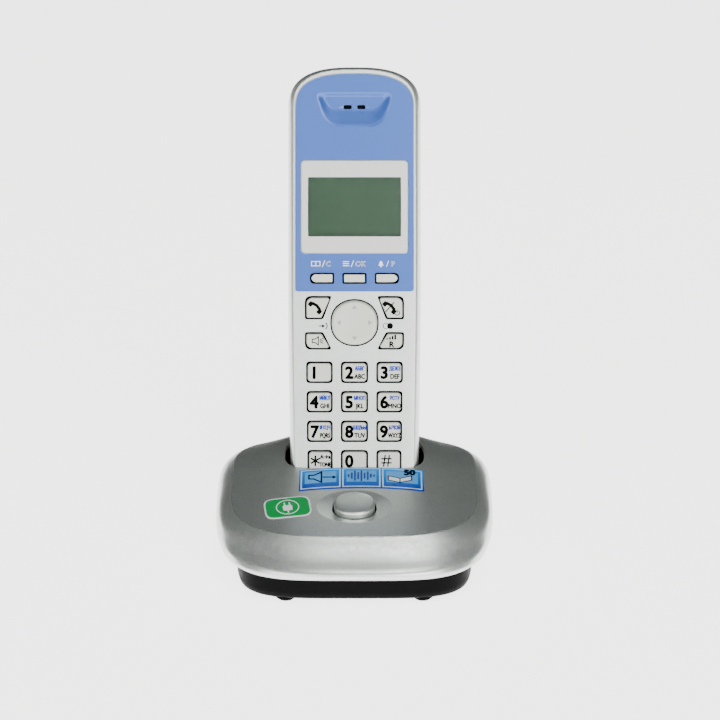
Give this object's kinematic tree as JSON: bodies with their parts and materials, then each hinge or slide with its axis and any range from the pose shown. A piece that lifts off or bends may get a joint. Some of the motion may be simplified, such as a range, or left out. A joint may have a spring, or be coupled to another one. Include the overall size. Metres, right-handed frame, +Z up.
{
  "type": "cordless telephone with charging base",
  "caption": "Slim silver cordless telephone handset with a light blue upper face and display, leaning in a rounded silver and black charging base with a locator button.",
  "frame": {"origin": "bottom centre of the bounding box, on the plane of the feet", "axes": "+Z up, the front of the base and the handset's keypad face towards -Y, +X to the viewer's right"},
  "size_m": [0.0998, 0.1232, 0.1693],
  "materials": {
    "silver_plastic": "satin metallic lacquer on moulded plastic",
    "blue_plastic": "gloss metallic light blue",
    "key_plastic": "satin silver grey keycaps",
    "black_plastic": "fine grained black moulding",
    "dark_rubber": "matt black rubber",
    "clear_window": "clear display window",
    "light_guide": "pale light guide",
    "lcd": "grey green liquid crystal display, switched off",
    "circuit_board": "green solder mask",
    "contact_metal": "plated spring steel",
    "cell_wrap": "green shrink wrap",
    "label_blue": "printed film label, blue",
    "label_green": "printed paper label, green"
  },
  "bodies": {
    "base": {"base_upper_housing": "silver_plastic", "base_lower_housing": "black_plastic", "cradle_liner": "black_plastic", "locator_switch": "black_plastic", "base_circuit_board": "circuit_board", "foot_front_left": "dark_rubber", "foot_rear_left": "dark_rubber", "foot_front_right": "dark_rubber", "foot_rear_right": "dark_rubber", "base_screw_left": "contact_metal", "base_screw_right": "contact_metal", "line_socket": "black_plastic", "power_socket": "black_plastic", "feature_label": "label_blue", "energy_label": "label_green"},
    "handset": {"handset_front_housing": "silver_plastic", "handset_rear_housing": "silver_plastic", "face_panel": "blue_plastic", "display_window": "clear_window", "lcd_module": "lcd", "display_backlight": "light_guide", "earpiece_speaker": "black_plastic", "rear_loudspeaker": "black_plastic", "microphone": "black_plastic", "keypad_mat": "dark_rubber", "handset_circuit_board": "circuit_board", "battery_left": "cell_wrap", "battery_right": "cell_wrap", "battery_contact_bottom": "contact_metal", "battery_contact_top": "contact_metal", "handset_charge_pad_left": "contact_metal", "handset_charge_pad_right": "contact_metal", "handset_screw_left": "contact_metal", "handset_screw_right": "contact_metal"},
    "battery_cover": {"battery_cover": "silver_plastic"},
    "navigator_tilt": {"navigator_post": "dark_rubber"},
    "navigator_rock": {"navigator_key": "key_plastic"},
    "key_1": {"key_1": "key_plastic"},
    "key_2": {"key_2": "key_plastic"},
    "key_3": {"key_3": "key_plastic"},
    "key_4": {"key_4": "key_plastic"},
    "key_5": {"key_5": "key_plastic"},
    "key_6": {"key_6": "key_plastic"},
    "key_7": {"key_7": "key_plastic"},
    "key_8": {"key_8": "key_plastic"},
    "key_9": {"key_9": "key_plastic"},
    "key_star": {"key_star": "key_plastic"},
    "key_0": {"key_0": "key_plastic"},
    "key_hash": {"key_hash": "key_plastic"},
    "key_talk": {"key_talk": "key_plastic"},
    "key_off": {"key_off": "key_plastic"},
    "key_speaker": {"key_speaker": "key_plastic"},
    "key_flash": {"key_flash": "key_plastic"},
    "soft_key_left": {"soft_key_left": "key_plastic"},
    "soft_key_middle": {"soft_key_middle": "key_plastic"},
    "soft_key_right": {"soft_key_right": "key_plastic"},
    "locator_button": {"locator_button": "silver_plastic"},
    "charge_contact_left": {"charge_contact_left": "contact_metal"},
    "charge_contact_right": {"charge_contact_right": "contact_metal"}
  },
  "joints": [
    {"name": "handset_lift", "type": "slide", "parent": "base", "child": "handset", "axis": [0, 0.342, 0.9397], "range_m": [0, 0.045]},
    {"name": "battery_cover_release", "type": "slide", "parent": "handset", "child": "battery_cover", "axis": [0, 0.9397, -0.342], "range_m": [0, 0.015]},
    {"name": "navigator_up_down", "type": "hinge", "parent": "handset", "child": "navigator_tilt", "pos_m": [0, 0.01168, 0.08153], "axis": [1, 0, 0], "range_deg": [-3, 3], "stiffness_Nm_per_rad": 0.6},
    {"name": "navigator_left_right", "type": "hinge", "parent": "navigator_tilt", "child": "navigator_rock", "pos_m": [0, 0.01168, 0.08153], "axis": [0, 0.342, 0.9397], "range_deg": [-3, 3], "stiffness_Nm_per_rad": 0.6},
    {"name": "press_key_1", "type": "slide", "parent": "handset", "child": "key_1", "axis": [0, 0.9397, -0.342], "range_m": [0, 0.0008], "stiffness_N_per_m": 400},
    {"name": "press_key_2", "type": "slide", "parent": "handset", "child": "key_2", "axis": [0, 0.9397, -0.342], "range_m": [0, 0.0008], "stiffness_N_per_m": 400},
    {"name": "press_key_3", "type": "slide", "parent": "handset", "child": "key_3", "axis": [0, 0.9397, -0.342], "range_m": [0, 0.0008], "stiffness_N_per_m": 400},
    {"name": "press_key_4", "type": "slide", "parent": "handset", "child": "key_4", "axis": [0, 0.9397, -0.342], "range_m": [0, 0.0008], "stiffness_N_per_m": 400},
    {"name": "press_key_5", "type": "slide", "parent": "handset", "child": "key_5", "axis": [0, 0.9397, -0.342], "range_m": [0, 0.0008], "stiffness_N_per_m": 400},
    {"name": "press_key_6", "type": "slide", "parent": "handset", "child": "key_6", "axis": [0, 0.9397, -0.342], "range_m": [0, 0.0008], "stiffness_N_per_m": 400},
    {"name": "press_key_7", "type": "slide", "parent": "handset", "child": "key_7", "axis": [0, 0.9397, -0.342], "range_m": [0, 0.0008], "stiffness_N_per_m": 400},
    {"name": "press_key_8", "type": "slide", "parent": "handset", "child": "key_8", "axis": [0, 0.9397, -0.342], "range_m": [0, 0.0008], "stiffness_N_per_m": 400},
    {"name": "press_key_9", "type": "slide", "parent": "handset", "child": "key_9", "axis": [0, 0.9397, -0.342], "range_m": [0, 0.0008], "stiffness_N_per_m": 400},
    {"name": "press_key_star", "type": "slide", "parent": "handset", "child": "key_star", "axis": [0, 0.9397, -0.342], "range_m": [0, 0.0008], "stiffness_N_per_m": 400},
    {"name": "press_key_0", "type": "slide", "parent": "handset", "child": "key_0", "axis": [0, 0.9397, -0.342], "range_m": [0, 0.0008], "stiffness_N_per_m": 400},
    {"name": "press_key_hash", "type": "slide", "parent": "handset", "child": "key_hash", "axis": [0, 0.9397, -0.342], "range_m": [0, 0.0008], "stiffness_N_per_m": 400},
    {"name": "press_key_talk", "type": "slide", "parent": "handset", "child": "key_talk", "axis": [0, 0.9397, -0.342], "range_m": [0, 0.0008], "stiffness_N_per_m": 400},
    {"name": "press_key_off", "type": "slide", "parent": "handset", "child": "key_off", "axis": [0, 0.9397, -0.342], "range_m": [0, 0.0008], "stiffness_N_per_m": 400},
    {"name": "press_key_speaker", "type": "slide", "parent": "handset", "child": "key_speaker", "axis": [0, 0.9397, -0.342], "range_m": [0, 0.0008], "stiffness_N_per_m": 400},
    {"name": "press_key_flash", "type": "slide", "parent": "handset", "child": "key_flash", "axis": [0, 0.9397, -0.342], "range_m": [0, 0.0008], "stiffness_N_per_m": 400},
    {"name": "press_soft_key_left", "type": "slide", "parent": "handset", "child": "soft_key_left", "axis": [0, 0.9397, -0.342], "range_m": [0, 0.0008], "stiffness_N_per_m": 400},
    {"name": "press_soft_key_middle", "type": "slide", "parent": "handset", "child": "soft_key_middle", "axis": [0, 0.9397, -0.342], "range_m": [0, 0.0008], "stiffness_N_per_m": 400},
    {"name": "press_soft_key_right", "type": "slide", "parent": "handset", "child": "soft_key_right", "axis": [0, 0.9397, -0.342], "range_m": [0, 0.0008], "stiffness_N_per_m": 400},
    {"name": "press_locator_button", "type": "slide", "parent": "base", "child": "locator_button", "axis": [0, 0.2425, -0.9701], "range_m": [0, 0.001], "stiffness_N_per_m": 600},
    {"name": "charge_contact_rise_left", "type": "slide", "parent": "base", "child": "charge_contact_left", "axis": [0, 0.342, 0.9397], "range_m": [0, 0.001]},
    {"name": "charge_contact_rise_right", "type": "slide", "parent": "base", "child": "charge_contact_right", "axis": [0, 0.342, 0.9397], "range_m": [0, 0.001]}
  ],
  "couplings": [
    {"joint": "charge_contact_rise_left", "follows": "handset_lift", "ratio": 0.022222},
    {"joint": "charge_contact_rise_right", "follows": "handset_lift", "ratio": 0.022222}
  ]
}
